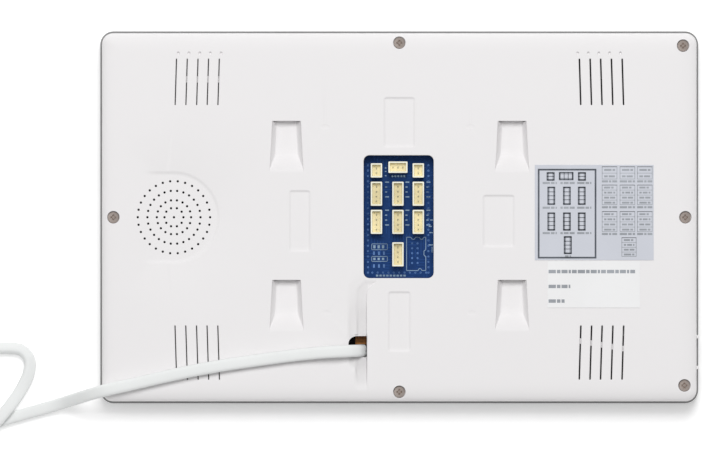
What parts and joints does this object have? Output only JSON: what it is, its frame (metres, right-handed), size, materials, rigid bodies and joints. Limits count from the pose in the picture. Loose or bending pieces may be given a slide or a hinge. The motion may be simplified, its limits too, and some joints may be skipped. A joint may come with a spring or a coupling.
{
  "type": "video intercom monitor",
  "caption": "Wall-hung indoor monitor of a video door intercom, seen from the back: flat housing with a connector window, hook pockets, vents, a speaker grille and a coiled mains lead.",
  "frame": {"origin": "middle of the front glass's outer face, which the monitor lies on", "axes": "+X to the right as seen from behind, +Y to the unit's top edge, +Z out of the back, towards the wall that it hangs on"},
  "size_m": [0.4012, 0.2083, 0.0276],
  "materials": {
    "white_plastic": "fine satin texture",
    "grey_rim": "satin metallic grey",
    "black_glass": "polished, black printed back",
    "display_film": "polished",
    "clear_acrylic": "polished",
    "zinc_steel": "zinc plated",
    "black_steel": "black painted",
    "warm_nickel": "nickel plated",
    "satin_aluminium": "satin",
    "navy_board": "blue solder mask",
    "brown_board": "bare phenolic",
    "green_board": "green solder mask",
    "chip_epoxy": "moulded epoxy",
    "yellow_tape": "polyester tape",
    "blue_sleeve": "shrunk sleeve",
    "ivory_plastic": "moulded nylon",
    "black_plastic": "moulded",
    "cone_paper": "pressed paper",
    "black_foam": "closed cell foam",
    "orange_film": "polyimide film",
    "white_film": "polyester film",
    "red_wire": "insulated wire",
    "grey_label": "printed film",
    "white_label": "printed film",
    "white_pvc": "soft satin"
  },
  "bodies": {
    "housing": {"rear_cover": "white_plastic", "front_frame": "grey_rim", "front_glass": "black_glass", "display_cell": "display_film", "light_guide": "clear_acrylic", "display_back_plate": "black_steel", "display_ribbon": "orange_film", "main_board": "navy_board", "processor": "chip_epoxy", "heat_sink": "satin_aluminium", "memory_chip": "chip_epoxy", "board_capacitor": "satin_aluminium", "header_top_left": "ivory_plastic", "header_top_middle": "ivory_plastic", "header_top_right": "ivory_plastic", "header_upper_left": "ivory_plastic", "header_upper_middle": "ivory_plastic", "header_upper_right": "ivory_plastic", "header_lower_left": "ivory_plastic", "header_lower_middle": "ivory_plastic", "header_lower_right": "ivory_plastic", "header_bottom": "ivory_plastic", "supply_board": "brown_board", "transformer": "yellow_tape", "bulk_capacitor": "blue_sleeve", "output_capacitor": "blue_sleeve", "lead_anchor": "black_plastic", "speaker_frame": "zinc_steel", "speaker_gasket": "black_foam", "speaker_lead": "red_wire", "supply_lead": "red_wire", "microphone": "satin_aluminium", "card_board": "green_board", "card_socket": "zinc_steel", "card_ribbon": "white_film", "case_screw_top": "warm_nickel", "case_screw_bottom": "warm_nickel", "case_screw_left": "warm_nickel", "case_screw_right": "warm_nickel", "case_screw_top_right": "warm_nickel", "case_screw_bottom_right": "warm_nickel", "board_screw_1": "zinc_steel", "board_screw_2": "zinc_steel", "board_screw_3": "zinc_steel", "board_screw_4": "zinc_steel", "board_screw_5": "zinc_steel", "board_screw_6": "zinc_steel", "wiring_label": "grey_label", "rating_label": "white_label", "mains_lead": "white_pvc", "lead_coil": "white_pvc", "coil_tie": "black_plastic", "lead_tail": "white_pvc", "plug_body": "white_pvc", "plug_pin_left": "warm_nickel", "plug_pin_right": "warm_nickel"},
    "card": {"memory_card": "black_plastic"},
    "cone": {"speaker_cone": "cone_paper"}
  },
  "joints": [
    {"name": "card_slide", "type": "slide", "parent": "housing", "child": "card", "axis": [1, 0, 0], "range_m": [-0.0005, 0.0125]},
    {"name": "cone_travel", "type": "slide", "parent": "housing", "child": "cone", "axis": [0, 0, 1], "range_m": [-0.0005, 0.0005], "stiffness_N_per_m": 1500}
  ]
}
